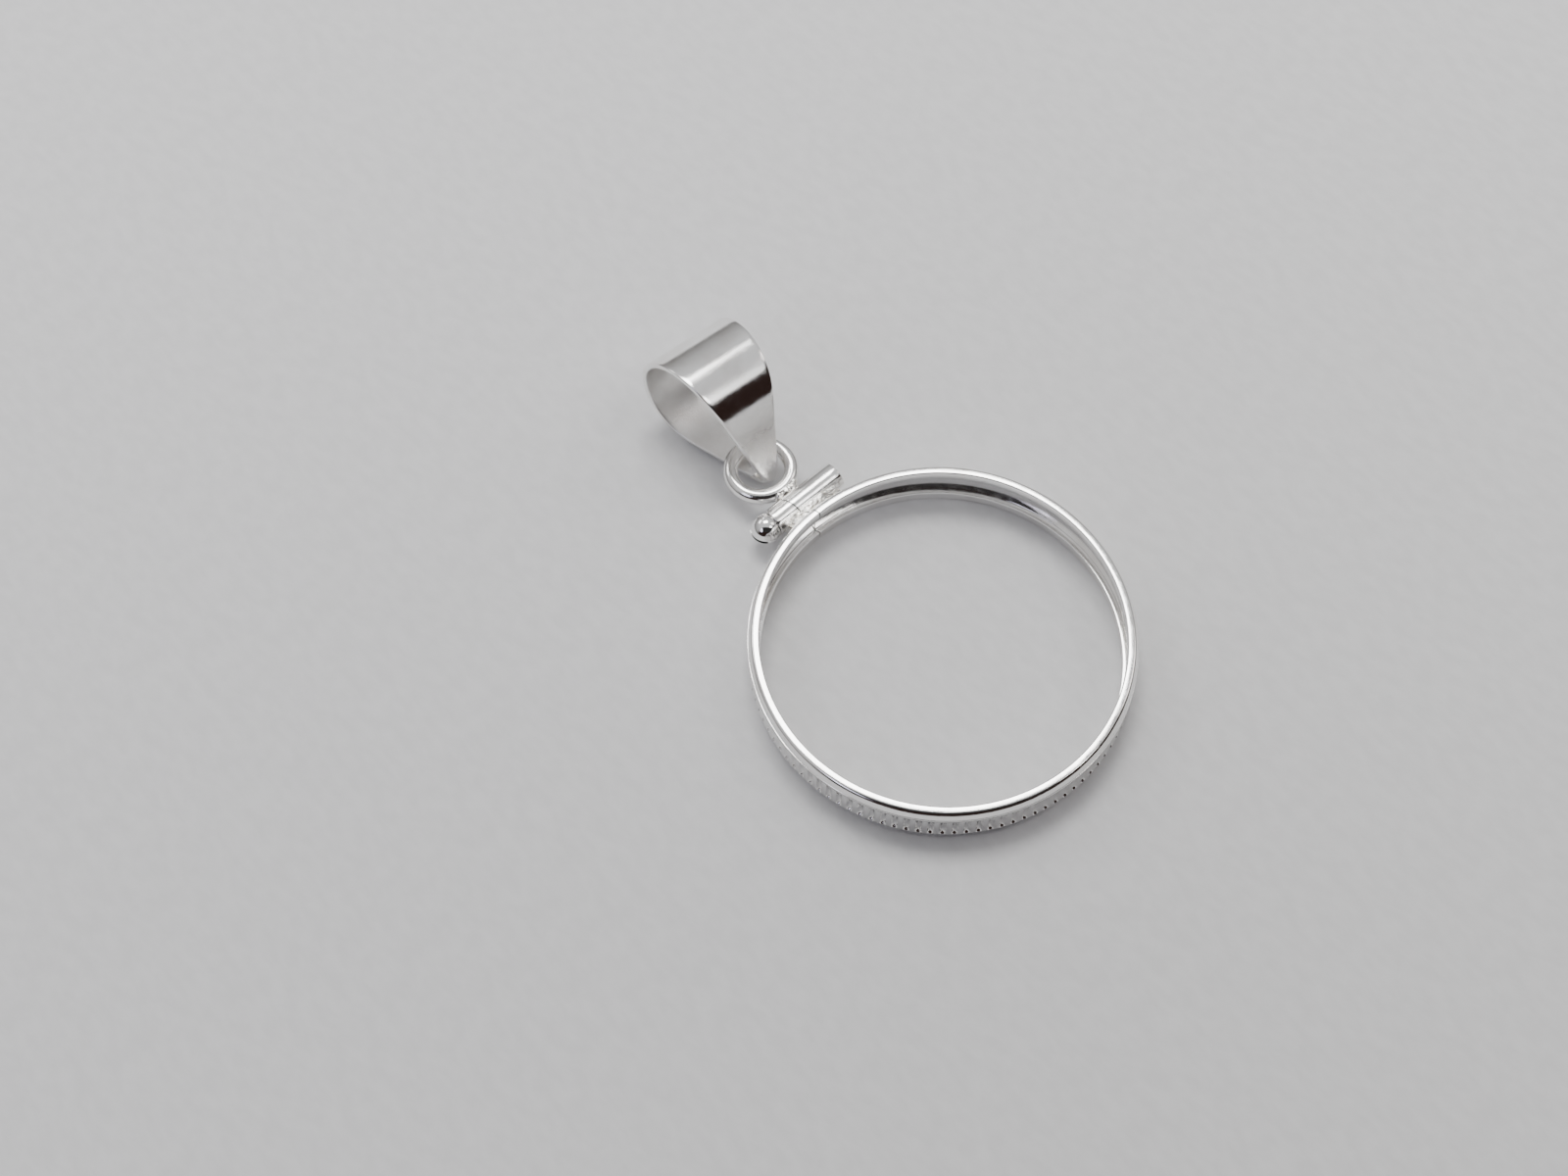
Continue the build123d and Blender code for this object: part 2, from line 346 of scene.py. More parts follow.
def solderSilver():
    material, tree, shader, place = silverBase("flowedSolder", finish["silver"], 0.2)
    wornTone(tree, shader, place, (0.93, 0.92, 0.89), (0.74, 0.70, 0.62), 0.4)
    low, high = finish["solderRoughness"]
    tree.links.new(ramp(tree, grain(tree, place, 0.15, 5.0), 0.35, 0.7, low, high), shader.inputs["Roughness"])
    bumps(tree, shader, [(grain(tree, place, 0.16, 3.0), finish["solderPits"]),
                         (grain(tree, place, 0.05, 4.0), finish["solderPits"] * 0.35)])
    return material


def wireSilver():
    material, tree, shader, place = silverBase("ringWire", finish["silver"], 0.1)
    wornTone(tree, shader, place, finish["silver"], finish["tarnish"], 0.8)
    low, high = finish["wireRoughness"]
    tree.links.new(ramp(tree, grain(tree, place, 0.3, 5.0), 0.35, 0.7, low, high), shader.inputs["Roughness"])
    bumps(tree, shader, [(grain(tree, place, 0.3, 2.0), finish["wireGrain"] * 4),
                         (grain(tree, place, 0.05, 3.0), finish["wireGrain"])])
    return material


def screwSilver():
    material, tree, shader, place = silverBase("screwSilver", finish["silver"], 0.08)
    low, high = finish["screwRoughness"]
    tree.links.new(ramp(tree, grain(tree, place, 0.3, 5.0), 0.35, 0.7, low, high), shader.inputs["Roughness"])
    bumps(tree, shader, [(grain(tree, place, 0.06, 3.0), finish["wireGrain"])])
    return material


def bailSilver():
    # polished outside, satin where the attribute says so
    material, tree, shader, place = silverBase("bailStrip", finish["silver"], 0.1)
    wornTone(tree, shader, place, finish["silver"], finish["tarnish"], 1.5)
    satin = addNode(tree, "ShaderNodeAttribute", attribute_name="satin").outputs["Fac"]
    cloud = ramp(tree, grain(tree, place, 0.4, 4.0), 0.3, 0.7, 0, 0.3)
    amount = addNode(tree, "ShaderNodeMath", {0: satin, 1: cloud}, operation="ADD", use_clamp=True).outputs[0]
    low, high = finish["bailRoughness"]
    tree.links.new(ramp(tree, amount, 0, 1, low, high), shader.inputs["Roughness"])
    polish = grain(tree, place, 0.05, 3.0)
    speck = maths(tree, "MULTIPLY", grain(tree, place, 0.09, 4.0), satin)
    bumps(tree, shader, [(polish, finish["bailGrain"]), (speck, finish["bailSatin"])])
    return material


silverOf = {
    "band": bandSilver(), "tube": tubeSilver(), "solder": solderSilver(), "wire": wireSilver(),
    "screw": screwSilver(), "bail": bailSilver(),
}
print("materials made:", len(silverOf))


# Closure facts that several pieces share
closure = {
    "cutSkew": 16.0,
    "cutFoot": 8.70,
    "cutKerf": 0.06,
    "plainBore": 0.45,
    "plainPastCut": 1.0,
    "threadedBore": 0.50,
    "threadedBeforeCut": -2.0,
    "threadPitch": 0.25,
    "ridgeShare": 0.86,
    "ridgeSteps": 40,
}

# Band: one strip with two rims, a coin groove inside and reeds outside
band = {
    "lipRadius": 8.70,
    "grooveRadius": 9.00,
    "lipThickness": 0.60,
    "lipEdge": 0.06,
    "rimDrop": 0.50,
    "rimRound": 0.28,
    "beltRelief": 0.04,
    "reedCount": 104,
    "reedDepth": 0.13,
    "reedWidth": 0.30,
    "reedLow": 0.58,
    "reedRunOut": 0.10,
    "bareRight": 11.9,
    "bareLeft": 8.5,
    "stepsPerReed": 12,
    "flexReeds": 4,
    "waveHeight": 0.010,
    "waveSize": 1.1,
    "seed": 4,
}


def bandOutline():
    # section in (radius, height), from the lower rim round the outside and back through the groove
    rim = bandRadius - band["beltRelief"]
    inner = rim - band["rimRound"]
    top = bandHeight
    edge = band["lipEdge"]
    lip = band["lipRadius"]
    groove = band["grooveRadius"]
    under = band["lipThickness"]
    drop = band["rimDrop"]
    reach = band["reedRunOut"]
    low = band["reedLow"]
    points = arc((inner, drop), (band["rimRound"], drop), 270, 360, 12)
    points += [(bandRadius - 0.012, drop + 0.004), (bandRadius, drop + 0.018)]
    rows = [low - 0.03, low, low + reach * 0.35, low + reach * 0.7, low + reach, midHeight]
    points += [(bandRadius, row) for row in rows]
    points += [(bandRadius, top - row) for row in reversed(rows[:-1])]
    points += [(bandRadius, top - drop - 0.018), (bandRadius - 0.012, top - drop - 0.004)]
    points += arc((inner, top - drop), (band["rimRound"], drop), 0, 90, 12)
    points += [(lip + (inner - lip) * 0.5, top)]
    points += arc((lip + edge, top - edge), (edge, edge), 90, 180, 4)
    points += arc((lip + edge / 2, top - under + edge / 2), (edge / 2, edge / 2), 180, 270, 2)
    points += [(groove - 0.02, top - under), (groove, top - under - 0.02), (groove, midHeight)]
    points += [(groove, under + 0.02), (groove - 0.02, under)]
    points += arc((lip + edge / 2, under - edge / 2), (edge / 2, edge / 2), 90, 180, 2)
    points += arc((lip + edge, edge), (edge, edge), 180, 270, 4)
    points += [(lip + (inner - lip) * 0.5, 0)]
    return points


def bandTree():
    # sweep the section round an arc, press the reeds into its belt, and let the strip waver a little
    tree, given = newTree("bandSweep", {
        "Path Radius": "Float", "Start Angle": "Float", "Sweep Angle": "Float", "Points": "Int",
        "Crest Radius": "Float", "Reed Count": "Float", "Reed Depth": "Float", "Reed Width": "Float",
        "Reed Low": "Float", "Reed High": "Float", "Run Out": "Float", "Bare Low": "Float", "Bare High": "Float",
        "Wave Height": "Float", "Wave Size": "Float", "Seed": "Float", "Material": "Material",
    })
    section = addNode(tree, "GeometryNodeMeshToCurve", {0: given["Geometry"]}).outputs[0]
    path = addNode(tree, "GeometryNodeCurveArc", {
        "Resolution": given["Points"], "Radius": given["Path Radius"],
        "Start Angle": given["Start Angle"], "Sweep Angle": given["Sweep Angle"],
    }, mode="RADIUS").outputs[0]
    upright = addNode(tree, "GeometryNodeSetCurveNormal", {0: path}, mode="Z_UP").outputs[0]
    strip = addNode(tree, "GeometryNodeCurveToMesh", {
        "Curve": upright, "Profile Curve": section, "Fill Caps": True}).outputs[0]

    place = addNode(tree, "GeometryNodeInputPosition").outputs[0]
    parts = addNode(tree, "ShaderNodeSeparateXYZ", {0: place}).outputs
    flat = vectorMaths(tree, "MULTIPLY", place, (1, 1, 0))
    radius = addNode(tree, "ShaderNodeVectorMath", {0: flat}, operation="LENGTH").outputs["Value"]
    turn = maths(tree, "ARCTAN2", parts[1], parts[0])
    fromBack = maths(tree, "ADD", turn, pi / 2)
    phase = maths(tree, "FRACT", maths(tree, "MULTIPLY", fromBack, maths(tree, "DIVIDE", given["Reed Count"], 2 * pi)))
    pitch = maths(tree, "DIVIDE", maths(tree, "MULTIPLY", given["Crest Radius"], 2 * pi), given["Reed Count"])
    off = maths(tree, "MULTIPLY", maths(tree, "ABSOLUTE", maths(tree, "SUBTRACT", phase, 0.5)), pitch)
    half = maths(tree, "DIVIDE", given["Reed Width"], 2.0)
    share = maths(tree, "DIVIDE", off, half)
    hollow = maths(tree, "MAXIMUM", maths(tree, "SUBTRACT", 1.0, maths(tree, "MULTIPLY", share, share)), 0.0)
    rise = addNode(tree, "ShaderNodeMapRange", {
        0: parts[2], 1: given["Reed Low"], 2: maths(tree, "ADD", given["Reed Low"], given["Run Out"]), 3: 0.0, 4: 1.0,
    }, interpolation_type="SMOOTHSTEP").outputs[0]
    fall = addNode(tree, "ShaderNodeMapRange", {
        0: parts[2], 1: maths(tree, "SUBTRACT", given["Reed High"], given["Run Out"]), 2: given["Reed High"],
        3: 1.0, 4: 0.0,
    }, interpolation_type="SMOOTHSTEP").outputs[0]
    onBelt = maths(tree, "GREATER_THAN", radius, maths(tree, "SUBTRACT", given["Crest Radius"], 0.005))
    bare = maths(tree, "MULTIPLY", maths(tree, "GREATER_THAN", turn, given["Bare Low"]),
                 maths(tree, "LESS_THAN", turn, given["Bare High"]))
    reeded = maths(tree, "MULTIPLY", onBelt, maths(tree, "SUBTRACT", 1.0, bare))
    depth = maths(tree, "MULTIPLY", maths(tree, "MULTIPLY", rise, fall), maths(tree, "MULTIPLY", hollow, reeded))
    inward = maths(tree, "DIVIDE", maths(tree, "MULTIPLY", depth, given["Reed Depth"]), radius)
    press = addNode(tree, "ShaderNodeVectorMath", {
        0: flat, "Scale": maths(tree, "MULTIPLY", inward, -1.0)}, operation="SCALE").outputs[0]
    pressed = addNode(tree, "GeometryNodeSetPosition", {"Geometry": strip, "Offset": press}).outputs[0]

    wave = addNode(tree, "ShaderNodeTexNoise", {
        "Vector": place, "W": given["Seed"], "Scale": maths(tree, "DIVIDE", 1.0, given["Wave Size"]), "Detail": 1.0,
    }, noise_dimensions="4D").outputs["Color"]
    waver = addNode(tree, "ShaderNodeVectorMath", {
        0: vectorMaths(tree, "SUBTRACT", wave, (0.5, 0.5, 0.5)), "Scale": given["Wave Height"]}, operation="SCALE")
    wavy = addNode(tree, "GeometryNodeSetPosition", {"Geometry": pressed, "Offset": waver.outputs[0]}).outputs[0]
    return endTree(tree, wavy, given["Material"])


bandSweep = bandTree()


def bandStretch(name, firstStep, lastStep):
    # steps of a twelfth of a reed, counted from the back of the band
    step = 2 * pi / (band["reedCount"] * band["stepsPerReed"])
    outline = bandOutline()
    bm = bmesh.new()
    verts = [bm.verts.new((r - band["grooveRadius"], -z, 0)) for r, z in outline]
    for i, vert in enumerate(verts):
        bm.edges.new((vert, verts[(i + 1) % len(verts)]))
    mesh = runTree(bandSweep, toMesh(bm, name), {
        "Path Radius": band["grooveRadius"], "Start Angle": -pi / 2 + firstStep * step,
        "Sweep Angle": (lastStep - firstStep) * step, "Points": lastStep - firstStep + 1,
        "Crest Radius": bandRadius, "Reed Count": float(band["reedCount"]), "Reed Depth": band["reedDepth"],
        "Reed Width": band["reedWidth"], "Reed Low": band["reedLow"], "Reed High": bandHeight - band["reedLow"],
        "Run Out": band["reedRunOut"], "Bare Low": pi / 2 - radians(band["bareRight"]),
        "Bare High": pi / 2 + radians(band["bareLeft"]), "Wave Height": band["waveHeight"],
        "Wave Size": band["waveSize"], "Seed": float(band["seed"]), "Material": silverOf["band"],
    })
    bm = fromMesh(mesh)
    bmesh.ops.remove_doubles(bm, verts=bm.verts[:], dist=1e-5)
    bmesh.ops.recalc_face_normals(bm, faces=bm.faces[:])
    return bm


flexSteps = band["flexReeds"] * band["stepsPerReed"]
halfSteps = band["reedCount"] * band["stepsPerReed"] // 2
pastCut = 2 * band["stepsPerReed"]
bmRight = bandStretch("bandRight", flexSteps, halfSteps + pastCut)
sawCut(bmRight, 1)
finishPiece("bandRight", bmRight, silverOf["band"], "right_side", ["band_right"])
bmLeft = bandStretch("bandLeft", halfSteps - pastCut, 2 * halfSteps - flexSteps)
sawCut(bmLeft, -1)
finishPiece("bandLeft", bmLeft, silverOf["band"], "left_side", ["band_left"])

# The back of the strip, between the two halves, belongs to no body
bmBack = bandStretch("bandBack", -flexSteps, flexSteps)
bandBack = finishPiece("bandBack", bmBack, silverOf["band"], None)
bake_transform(bandBack)


# Screw thread and the thread inside the tube: a ridge that follows a helix
def threadTree():
    tree, given = newTree("threadRidge", {
        "Root Radius": "Float", "Ridge Depth": "Float", "Ridge Width": "Float", "Pitch": "Float",
        "Turns": "Float", "Steps Per Turn": "Int", "Material": "Material",
    })
    helix = addNode(tree, "GeometryNodeCurveSpiral", {
        "Resolution": given["Steps Per Turn"], "Rotations": given["Turns"], "Start Radius": given["Root Radius"],
        "End Radius": given["Root Radius"], "Height": maths(tree, "MULTIPLY", given["Pitch"], given["Turns"]),
        "Reverse": True,
    }).outputs[0]
    upright = addNode(tree, "GeometryNodeSetCurveNormal", {0: helix}, mode="Z_UP").outputs[0]
    diamond = addNode(tree, "GeometryNodeCurvePrimitiveCircle", {"Resolution": 4, "Radius": 1.0}).outputs[0]
    spread = addNode(tree, "ShaderNodeCombineXYZ", {
        0: given["Ridge Depth"], 1: maths(tree, "DIVIDE", given["Ridge Width"], 2.0), 2: 1.0}).outputs[0]
    ridge = addNode(tree, "GeometryNodeTransform", {"Geometry": diamond, "Scale": spread}).outputs[0]
    swept = addNode(tree, "GeometryNodeCurveToMesh", {
        "Curve": upright, "Profile Curve": ridge, "Fill Caps": True}).outputs[0]
    return endTree(tree, swept, given["Material"])


threadRidge = threadTree()


def threadPiece(rootRadius, depth, start, length):
    # the ridge laid along X at the tube's axis, as a bmesh
    turns = length / closure["threadPitch"]
    mesh = runTree(threadRidge, bpy.data.meshes.new("ridge"), {
        "Root Radius": rootRadius, "Ridge Depth": depth,
        "Ridge Width": closure["threadPitch"] * closure["ridgeShare"],
        "Pitch": closure["threadPitch"], "Turns": turns, "Steps Per Turn": closure["ridgeSteps"],
        "Material": silverOf["screw"],
    })
    mesh.transform(Matrix.Translation((start, tubeAxis, midHeight)) @ Matrix.Rotation(pi / 2, 4, "Y"))
    bm = fromMesh(mesh)
    bmesh.ops.recalc_face_normals(bm, faces=bm.faces[:])
    return bm


def addInto(bm, other):
    # put a second shell beside the first in one mesh
    mesh = toMesh(other, "shell")
    bm.from_mesh(mesh)
    bpy.data.meshes.remove(mesh)


tube = {"endRound": 0.05, "boreRound": 0.03, "steps": 128}


def tubeOutline(start, end, bore, roundStart, roundEnd):
    # (distance along X, radius) round the wall of a length of tube
    r = tubeRadius
    e, b = tube["endRound"], tube["boreRound"]
    points = []
    if roundStart:
        points += arc((start + b, bore + b), (b, b), 270, 180, 3)
        points += arc((start + e, r - e), (e, e), 180, 90, 4)
    else:
        points += [(start, bore), (start, r)]
    points += [(start + (end - start) * i / 12, r) for i in range(1, 12)]
    if roundEnd:
        points += arc((end - e, r - e), (e, e), 90, 0, 4)
        points += arc((end - b, bore + b), (b, b), 0, -90, 3)
    else:
        points += [(end, r), (end, bore)]
    points += [(end + (start - end) * i / 12, bore) for i in range(1, 12)]
    return points


tubeCentre = (0, tubeAxis, midHeight)
plainOutline = tubeOutline(plainLow.x, closure["plainPastCut"], closure["plainBore"], True, False)
bmPlain = lathe(plainOutline, tubeCentre, (1, 0, 0), tube["steps"], closed=True)
sawCut(bmPlain, -1)
finishPiece("tubePlain", bmPlain, silverOf["tube"], "left_side", ["closure_tube_plain"])

threadedOutline = tubeOutline(closure["threadedBeforeCut"], tubeHigh.x, closure["threadedBore"], False, True)
bmThreaded = lathe(threadedOutline, tubeCentre, (1, 0, 0), tube["steps"], closed=True)
sawCut(bmThreaded, 1)
innerThread = {"start": -0.25, "endMargin": 0.12, "depth": 0.07, "sink": 0.015}
addInto(bmThreaded, threadPiece(closure["threadedBore"] + innerThread["sink"], innerThread["depth"],
                                innerThread["start"],
                                tubeHigh.x - innerThread["endMargin"] - innerThread["start"]))
finishPiece("tubeThreaded", bmThreaded, silverOf["tube"], "right_side", ["closure_tube_threaded"])

# Closure screw: a ball head with a slot, and a threaded shank
screw = {
    "headRadius": 0.78,
    "headCentre": 0.42,
    "seatGap": 0.02,
    "seatRound": 0.04,
    "coreRadius": 0.335,
    "crestRadius": 0.40,
    "tipBreak": 0.08,
    "slotWidth": 0.20,
    "slotDepth": 0.34,
    "threadStart": 0.35,
    "steps": 96,
}


def screwBody():
    # distances run from the head's seat towards the tip, so the head is at negative ones
    centre = -screw["headCentre"]
    seat = -screw["seatGap"]
    reach = seat - centre
    edge = sqrt(screw["headRadius"] ** 2 - reach ** 2)
    low = asin(reach / screw["headRadius"]) * 180 / pi
    ball = arc((centre, 0), (screw["headRadius"], screw["headRadius"]), 180, 90 - low + 4, 36)
    outline = [(ball[0][0], 0)] + ball[1:]
    outline += [(seat, edge - screw["seatRound"]), (seat, screw["crestRadius"] + 0.05)]
    outline += [(seat, screw["coreRadius"] + 0.02), (seat + 0.03, screw["coreRadius"])]
    tip = screwHigh.x - plainLow.x
    outline += [(tip - screw["tipBreak"], screw["coreRadius"])]
    outline += [(tip, screw["coreRadius"] - screw["tipBreak"]), (tip, 0)]
    return lathe(outline, (plainLow.x, tubeAxis, midHeight), (1, 0, 0), screw["steps"])


def slotCutter():
    # a bar through the head's crown, along Y
    bm = bmesh.new()
    bmesh.ops.create_cube(bm, size=1.0)
    back = plainLow.x - screw["headCentre"] - screw["headRadius"]
    length = 4 * screw["headRadius"]
    size = Matrix.Diagonal((length, length, screw["slotWidth"], 1))
    place = Matrix.Translation((back + screw["slotDepth"] - length / 2, tubeAxis, midHeight))
    bmesh.ops.transform(bm, matrix=place @ size, verts=bm.verts[:])
    return bm


def cutSlot(bm):
    holder = bpy.data.objects.new("screwShape", toMesh(bm, "screwShape"))
    cutter = bpy.data.objects.new("slotCutter", toMesh(slotCutter(), "slotCutter"))
    bpy.context.scene.collection.objects.link(holder)
    bpy.context.scene.collection.objects.link(cutter)
    cut = holder.modifiers.new("slot", "BOOLEAN")
    cut.operation = "DIFFERENCE"
    cut.solver = "EXACT"
    cut.object = cutter
    mesh = plainMesh(holder)
    bpy.data.objects.remove(cutter)
    return fromMesh(mesh)


bmScrew = cutSlot(screwBody())
threadLength = screwHigh.x - screw["tipBreak"] - plainLow.x - screw["threadStart"]
addInto(bmScrew, threadPiece(screw["coreRadius"], screw["crestRadius"] - screw["coreRadius"],
                             plainLow.x + screw["threadStart"], threadLength))
finishPiece("closureScrew", bmScrew, silverOf["screw"], "screw", ["closure_screw"])

# Jump ring of round wire
ringCentre = (ringLow + ringHigh) / 2
wireRadius = (ringHigh.z - ringLow.z) / 2
ringRadius = (ringHigh.x - ringLow.x) / 2 - wireRadius
jumpRing = {"steps": 192, "wireSteps": 40, "unevenness": 0.018, "unevenSize": 0.9}
wireOutline = arc((0, ringRadius), (wireRadius, wireRadius), 0, 360, jumpRing["wireSteps"])[:-1]
bmRing = lathe(wireOutline, ringCentre, (0, 0, 1), jumpRing["steps"], closed=True)
ripple(bmRing, jumpRing["unevenness"], jumpRing["unevenSize"], 3)
finishPiece("jumpRing", bmRing, silverOf["wire"], "right_side", ["jump_ring"])

# Solder: saddles between the band and the tube, and the blob under the jump ring
solder = {
    "footSink": 0.11,
    "footHalf": 0.98,
    "waistHalf": 0.46,
    "tubeSink": 0.11,
    "bow": 0.36,
    "stations": 22,
    "endTaper": 0.16,
    "rightStart": -0.9,
    "leftEnd": 0.5,
    "voxel": 0.035,
    "smoothing": 6,
    "lump": 0.05,
    "lumpSize": 0.55,
    "fine": 0.022,
    "fineSize": 0.16,
}


def saddleShell(start, end):
    # sections across the gap, from a foot inside the band's wall to an arc inside the tube's wall
    bm = bmesh.new()
    rings = []
    radius = tubeRadius - solder["tubeSink"]
    reach = asin(solder["waistHalf"] / radius)
    for i in range(solder["stations"] + 1):
        share = i / solder["stations"]
        x = start + (end - start) * share
        taper = 1 - solder["endTaper"] * abs(2 * share - 1) ** 3
        foot = sqrt((bandRadius - solder["footSink"]) ** 2 - x * x)
        points = []
        for j in range(9):
            angle = reach * (1 - 2 * j / 8)
            points.append((tubeAxis - radius * cos(angle), radius * sin(angle) * taper))
        waistY = points[-1][0]
        waistZ = solder["waistHalf"] * taper
        footZ = solder["footHalf"] * taper
        for side in (-1, 1):
            flank = []
            for j in range(1, 7):
                step = j / 7
                y = waistY + (foot - waistY) * step
                z = waistZ + (footZ - waistZ) * step ** (1 / (1 - solder["bow"]))
                flank.append((y, z * side))
            if side == -1:
                points += flank + [(foot, -footZ), (foot, 0), (foot, footZ)]
            else:
                points += flank[::-1]
        rings.append([bm.verts.new((x, y, midHeight + z)) for y, z in points])
    stitch(bm, rings, closed=False)
    for ring in (rings[0], rings[-1]):
        bm.faces.new(ring)
    bmesh.ops.recalc_face_normals(bm, faces=bm.faces[:])
    return bm


def flowed(bm, seed):
    bm = fuse(bm, solder["voxel"], solder["smoothing"])
    ripple(bm, solder["lump"], solder["lumpSize"], seed)
    ripple(bm, solder["fine"], solder["fineSize"], seed + 5)
    return bm


bmSaddle = flowed(saddleShell(solder["rightStart"], saddleRightHigh.x), 2)
sawCut(bmSaddle, 1)
finishPiece("saddleRight", bmSaddle, silverOf["solder"], "right_side", ["solder_saddle_right"], sharp=50)
bmSaddle = flowed(saddleShell(saddleLeftLow.x, solder["leftEnd"]), 8)
sawCut(bmSaddle, -1)
finishPiece("saddleLeft", bmSaddle, silverOf["solder"], "left_side", ["solder_saddle_left"], sharp=50)

ringSolder = {
    "height": 0.36,
    "offset": 0.42,
    "stretch": (1.15, 0.95),
    "lumps": [(-0.36, 0.50, 0.26), (0.05, 0.44, 0.34), (0.42, 0.46, 0.33), (0.66, 0.60, 0.24), (0.20, 0.66, 0.30)],
}


def ringSolderShell():
    # lumps are (sideways from the ring's middle, out past the offset from the tube's axis, radius) in mm
    bm = bmesh.new()
    for across, out, radius in ringSolder["lumps"]:
        place = Matrix.Translation((ringCentre.x + across, tubeAxis + out + ringSolder["offset"], midHeight))
        shape = Matrix.Diagonal((*ringSolder["stretch"], ringSolder["height"] / radius, 1))
        bmesh.ops.create_uvsphere(bm, u_segments=32, v_segments=20, radius=radius, matrix=place @ shape)
    return bm


bmBlob = flowed(ringSolderShell(), 12)
finishPiece("ringSolder", bmBlob, silverOf["solder"], "right_side", ["jump_ring_solder"], sharp=50)

# Bail: a tapered strip folded to a teardrop, its tips soldered together
bail = {
    "thickness": 0.30,
    "length": 8.30,
    "loopRadius": 3.00,
    "tipRound": 0.28,
    "creaseRound": 0.06,
    "topWidth": 4.75,
    "topFlare": 6.0,
    "bellyWidth": 3.34,
    "bellyAt": 4.10,
    "bellySlope": 0.283,
    "waistWidth": 2.00,
    "waistAt": 2.00,
    "waistSlope": 0.340,
    "tipWidth": 0.80,
    "tipAt": 0.30,
    "tipTrim": 0.08,
    "tipSlope": 0.40,
    "tipHeight": 0.85,
    "tipToWire": 1.93,
    "yaw": -4.8,
    "roll": -6.0,
    "side": 0.22,
    "edgeRound": 0.07,
    "tipSteps": 10,
    "flankSteps": 46,
    "loopSteps": 120,
    "columns": 24,
    "dentAt": 0.95,
    "dentSide": 0.20,
    "dentRadius": 0.30,
    "dentDepth": 0.06,
    "satinFrom": 3.1,
    "satinTo": 1.9,
}

yaw, bailRoll = radians(bail["yaw"]), radians(bail["roll"])
levelAcross = Vector((cos(yaw), sin(yaw), 0))
level = Vector((-sin(yaw), cos(yaw), 0))
up = Vector((0, 0, 1))
wirePoint = Vector(ringCentre) + levelAcross * bail["side"] + level * sqrt(ringRadius**2 - bail["side"]**2)
loopDistance = bail["length"] - bail["tipRound"] - bail["loopRadius"]
edgeDrop = bail["bellyWidth"] / 2 * sin(abs(bailRoll))
lift = asin((bail["loopRadius"] * cos(bailRoll) + edgeDrop - bail["tipHeight"]) / loopDistance)
along = level * cos(lift) + up * sin(lift)
face = levelAcross.cross(along)
across = levelAcross * cos(bailRoll) + face * sin(bailRoll)
out = face * cos(bailRoll) - levelAcross * sin(bailRoll)
tipCentre = wirePoint - level * bail["tipToWire"] + up * (bail["tipHeight"] - wirePoint.z)
tipEnd = tipCentre - along * bail["tipRound"]


def curveBetween(share, low, high, slopeLow, slopeHigh, span):
    # a cubic from low to high with the slopes given at its ends
    square, cube = share**2, share**3
    return (low * (2 * cube - 3 * square + 1) + span * slopeLow * (cube - 2 * square + share)
            + high * (3 * square - 2 * cube) + span * slopeHigh * (cube - square))


def halfWidth(at):
    # half the strip's width at a distance from the tip end
    tip = bail["tipWidth"] / 2
    if at < bail["tipAt"]:
        return tip * sqrt(max(at - bail["tipTrim"], 0.004) / (bail["tipAt"] - bail["tipTrim"]))
    stations = [
        (bail["tipAt"], tip, bail["tipSlope"]),
        (bail["waistAt"], bail["waistWidth"] / 2, bail["waistSlope"]),
        (bail["bellyAt"], bail["bellyWidth"] / 2, bail["bellySlope"]),
        (bail["length"], bail["topWidth"] / 2, tan(radians(bail["topFlare"]))),
    ]
    for (startAt, low, slopeLow), (endAt, high, slopeHigh) in zip(stations, stations[1:]):
        if at <= endAt or endAt == bail["length"]:
            span = endAt - startAt
            return curveBetween((at - startAt) / span, low, high, slopeLow, slopeHigh, span)


def teardrop(tipAt, tipRadius, loopRadius):
    # (along, out) round two circles and the straight flanks between them, starting at the tip
    distance = bail["tipRound"] + loopDistance - tipAt
    slope = asin((loopRadius - tipRadius) / distance) * 180 / pi
    loopAt = bail["tipRound"] + loopDistance
    tipUp = arc((tipAt, 0), (tipRadius, tipRadius), 180, 90 + slope, bail["tipSteps"])
    loop = arc((loopAt, 0), (loopRadius, loopRadius), 90 + slope, -90 - slope, bail["loopSteps"])
    tipDown = arc((tipAt, 0), (tipRadius, tipRadius), 270 - slope, 180, bail["tipSteps"])
    flankUp = between(tipUp[-1], loop[0])
    flankDown = between(loop[-1], tipDown[0])
    return tipUp + flankUp + loop + flankDown + tipDown[:-1]


def between(start, end):
    count = bail["flankSteps"]
    return [(start[0] + (end[0] - start[0]) * i / count, start[1] + (end[1] - start[1]) * i / count)
            for i in range(1, count)]


def stripSection():
    # (share of the half width, inset in mm, depth as a share of the thickness) once round the strip's section
    r, t = bail["edgeRound"], bail["thickness"]
    corner = [(r - r * sin(radians(a)), (r - r * cos(radians(a))) / t) for a in (0, 22.5, 45, 67.5, 90)]
    count = bail["columns"]
    shares = [-1 + 2 * i / count for i in range(1, count)]
    outer = [(share, 0, 0) for share in shares]
    rightEdge = [(1, inset, depth) for inset, depth in corner]
    rightEdge += [(1, inset, 1 - depth) for inset, depth in reversed(corner)]
    inner = [(share, 0, 1) for share in reversed(shares)]
    leftEdge = [(-1, inset, 1 - depth) for inset, depth in corner]
    leftEdge += [(-1, inset, depth) for inset, depth in reversed(corner)]
    return outer + rightEdge + inner + leftEdge


